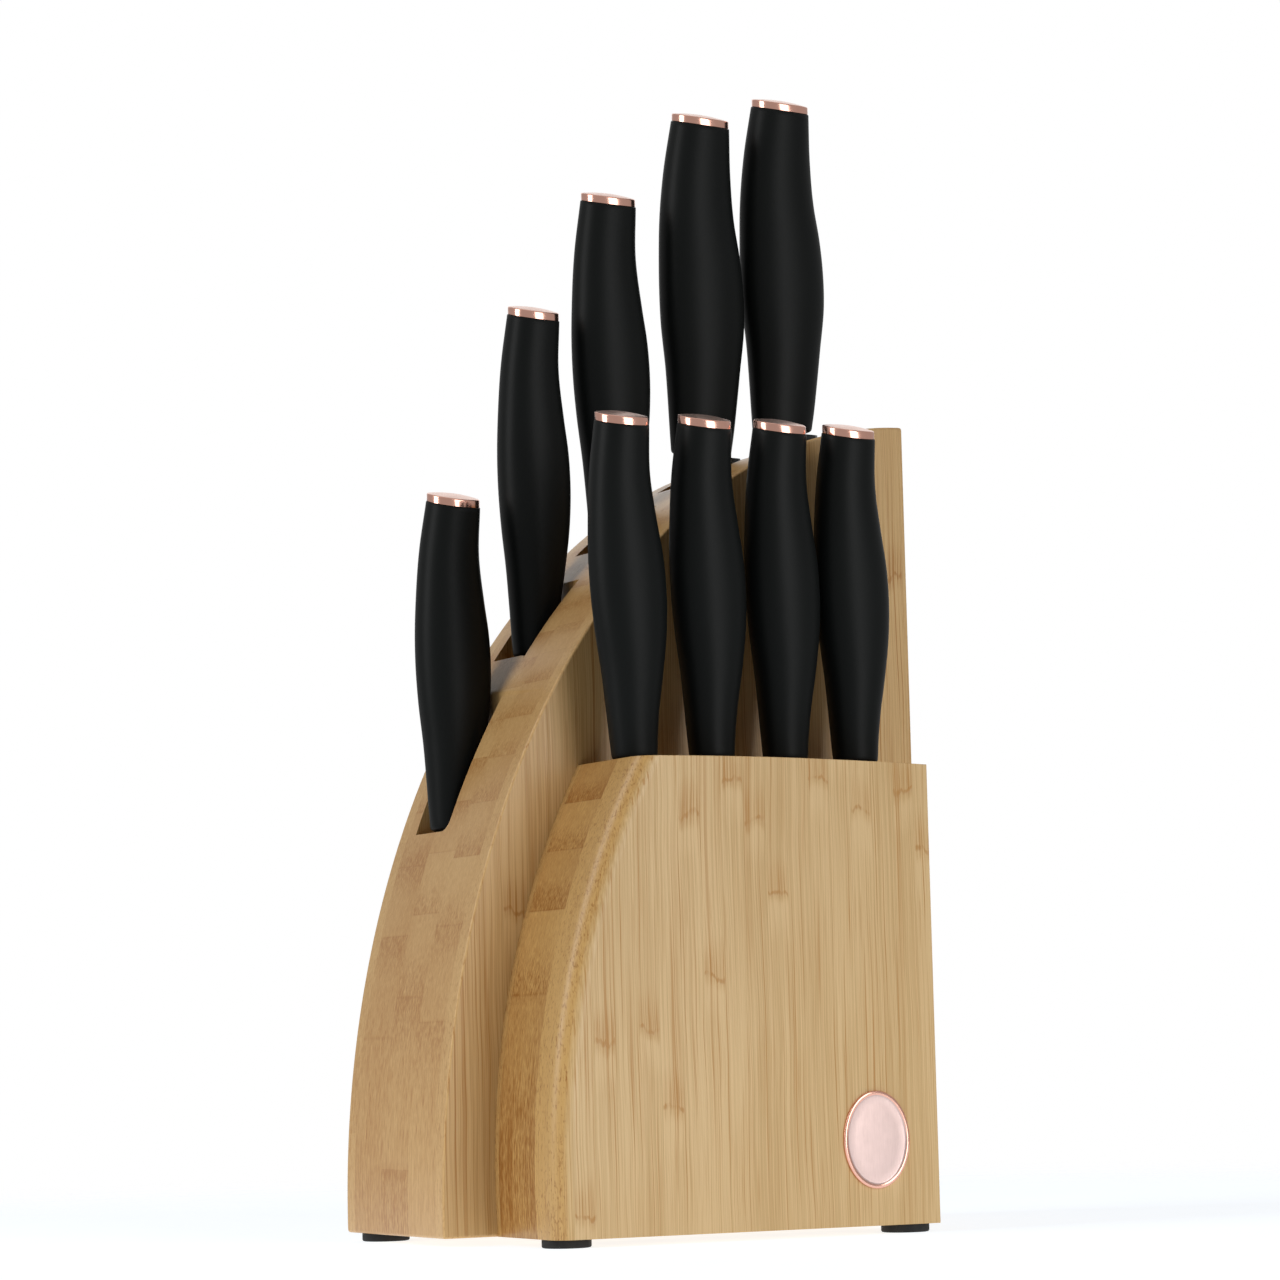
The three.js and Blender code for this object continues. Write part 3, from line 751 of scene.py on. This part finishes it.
black = soft_black()
coating = blade_steel("blade_coating", (0.024, 0.026, 0.027), 0.35, 0.34)
ground = blade_steel("blade_ground_edge", (0.36, 0.37, 0.38), 1.0, 0.28)
for knife in KNIVES:
    place = knife_place(knife, BACK_ROW if knife in back_row else FRONT_ROW)
    body = knife[0]
    place_piece(handle(knife, place, black), body, "soft_black", f"{body}_handle")
    place_piece(cap(knife, place, [polished, brushed]), body, "rose_gold", f"{body}_cap")
    place_piece(blade(knife, place, [coating, ground]), body, "coated_steel", f"{body}_blade")


# ---- camera, floor and light ------------------------------------------------------------------------------

YAW, PITCH, ROLL = (math.radians(v) for v in (27.484, 5.837, -1.380))
CAMERA_PLACE = (-0.62053, -1.18175, 0.0599)
SENSOR_WIDTH, LENS = 36, 113.28
FLOOR_RADIUS = 12000
WHITE = (1, 1, 1, 1)

forward = Vector((math.sin(YAW) * math.cos(PITCH), math.cos(YAW) * math.cos(PITCH), math.sin(PITCH)))
right = Vector((math.cos(YAW), -math.sin(YAW), 0))
up = right.cross(forward)
camera_x = math.cos(ROLL) * right + math.sin(ROLL) * up
camera_y = -math.sin(ROLL) * right + math.cos(ROLL) * up
camera = bpy.data.objects.new("camera", bpy.data.cameras.new("camera"))
camera.data.sensor_width = SENSOR_WIDTH
camera.data.lens = LENS
rotation = Matrix((camera_x, camera_y, -forward)).transposed().to_4x4()
camera.matrix_world = Matrix.Translation(CAMERA_PLACE) @ rotation
bpy.context.scene.collection.objects.link(camera)
bpy.context.scene.camera = camera

floor_bm = bmesh.new()
bmesh.ops.create_circle(floor_bm, cap_ends=True, segments=64, radius=FLOOR_RADIUS)
floor_look = Nodes("pale_floor", Specular_IOR_Level=0.0)
speckle = floor_look.noise(floor_look.stretch((40, 40, 40)), detail=2)
paper = floor_look.mix(floor_look.total(0.5, speckle), (0.38, 0.47, 0.58), (0.41, 0.50, 0.61))
floor_x, floor_y, _ = floor_look.split(floor_look.point)
reach_squared = floor_look.total(floor_look.times(floor_x, floor_x), floor_look.times(floor_y, floor_y))
reach = floor_look.math("SQRT", reach_squared)
faded = floor_look.fit(reach, 0.3, 0.75, 1, 0)
floor_look.bsdf.inputs["Emission Color"].default_value = WHITE
floor_look.bsdf.inputs["Emission Strength"].default_value = 0.8
floor_look.bsdf.inputs["Roughness"].default_value = 0.9
floor = to_object("floor", floor_bm, [floor_look.set(Base_Color=paper, Alpha=faded)])


def softbox(name, direction, distance, height, size, power):
    """An area light that faces the middle of the object."""
    light = bpy.data.lights.new(name, "AREA")
    light.shape = "RECTANGLE"
    light.size, light.size_y = size
    light.energy = power
    lamp = bpy.data.objects.new(name, light)
    flat = Vector((direction[0], direction[1], 0)).normalized()
    lamp.location = flat * distance + Vector((0, 0, height))
    lamp.rotation_euler = (Vector((0, 0, 0.2)) - lamp.location).to_track_quat("-Z", "Y").to_euler()
    lamp.visible_camera = False
    bpy.context.scene.collection.objects.link(lamp)


softbox("left_softbox", (-1.0, 0.05), 1.5, 0.85, (0.7, 1.5), 13)
softbox("right_softbox", (0.24, -0.97), 1.5, 0.55, (0.7, 1.5), 10.8)
softbox("top_softbox", (0.05, 0.2), 0.35, 1.7, (1.4, 1.4), 1.5)
softbox("rear_softbox", (0.45, 0.89), 1.6, 0.95, (1.6, 1.2), 3.5)

world = bpy.data.worlds.new("studio")
bpy.context.scene.world = world
world.use_nodes = True
tree = world.node_tree
tree.nodes.clear()
path = tree.nodes.new("ShaderNodeLightPath")


def white_background(strength):
    node = tree.nodes.new("ShaderNodeBackground")
    node.inputs["Color"].default_value = WHITE
    node.inputs["Strength"].default_value = strength
    return node


seen, fill, shine = white_background(1.0), white_background(0.1), white_background(0.42)
choose_shine = tree.nodes.new("ShaderNodeMixShader")
choose_seen = tree.nodes.new("ShaderNodeMixShader")
out = tree.nodes.new("ShaderNodeOutputWorld")
tree.links.new(path.outputs["Is Glossy Ray"], choose_shine.inputs[0])
tree.links.new(fill.outputs[0], choose_shine.inputs[1])
tree.links.new(shine.outputs[0], choose_shine.inputs[2])
tree.links.new(path.outputs["Is Camera Ray"], choose_seen.inputs[0])
tree.links.new(choose_shine.outputs[0], choose_seen.inputs[1])
tree.links.new(seen.outputs[0], choose_seen.inputs[2])
tree.links.new(choose_seen.outputs[0], out.inputs["Surface"])
bpy.context.scene.view_settings.view_transform = "Standard"
